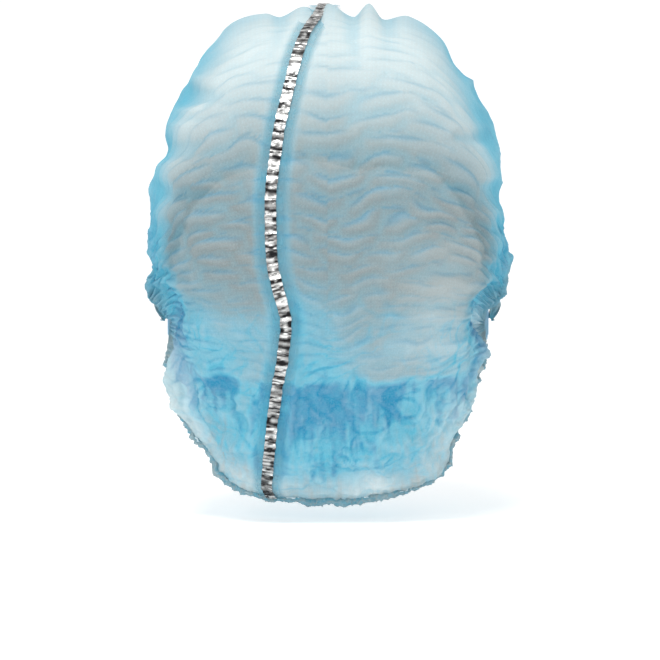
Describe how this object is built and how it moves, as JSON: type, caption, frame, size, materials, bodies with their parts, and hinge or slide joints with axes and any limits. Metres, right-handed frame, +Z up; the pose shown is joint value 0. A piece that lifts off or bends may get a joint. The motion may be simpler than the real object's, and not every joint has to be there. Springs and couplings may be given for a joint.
{
  "type": "pleated clip cap",
  "caption": "Disposable pleated non-woven clip cap, shown as worn, with elastic front and rear edges, welded pleat ends at the ears and a detectable foil strip over the crown.",
  "frame": {"origin": "centre of the head opening: the midpoint of the line through the two end welds, above the wearer's ears", "axes": "+Z up towards the crown, the wearer faces -Y, +X towards the wearer's left"},
  "size_m": [0.1702, 0.1948, 0.2373],
  "materials": {
    "web_fabric": "thin translucent spunbond non-woven, pale blue, finely pleated",
    "hem_fabric": "the same non-woven folded over the elastic, gathered",
    "elastic": "matt white covered elastic strand",
    "fused_pleats": "non-woven melted into a stiff ribbed bar",
    "carrier_tape": "doubled non-woven tape, darker than the web",
    "foil": "bright thin foil, crinkled across its length"
  },
  "bodies": {
    "crown": {"crown_web": "web_fabric", "left_end_weld": "fused_pleats", "right_end_weld": "fused_pleats", "left_end_tail": "web_fabric", "right_end_tail": "web_fabric", "foil_carrier_crown": "carrier_tape", "foil_strip_crown": "foil"},
    "nape": {"nape_web": "web_fabric", "rear_hem": "hem_fabric", "rear_elastic_upper": "elastic", "rear_elastic_lower": "elastic", "foil_carrier_nape": "carrier_tape", "foil_strip_nape": "foil"},
    "brow": {"brow_web": "web_fabric", "front_hem": "hem_fabric", "front_elastic_upper": "elastic", "front_elastic_lower": "elastic", "foil_carrier_brow": "carrier_tape", "foil_strip_brow": "foil"}
  },
  "joints": [
    {"name": "nape_edge_swing", "type": "hinge", "parent": "crown", "child": "nape", "pos_m": [0, 0, 0], "axis": [-1, 0, 0], "range_deg": [0, 24]},
    {"name": "brow_edge_swing", "type": "hinge", "parent": "crown", "child": "brow", "pos_m": [0, 0, 0], "axis": [1, 0, 0], "range_deg": [0, 18]}
  ]
}
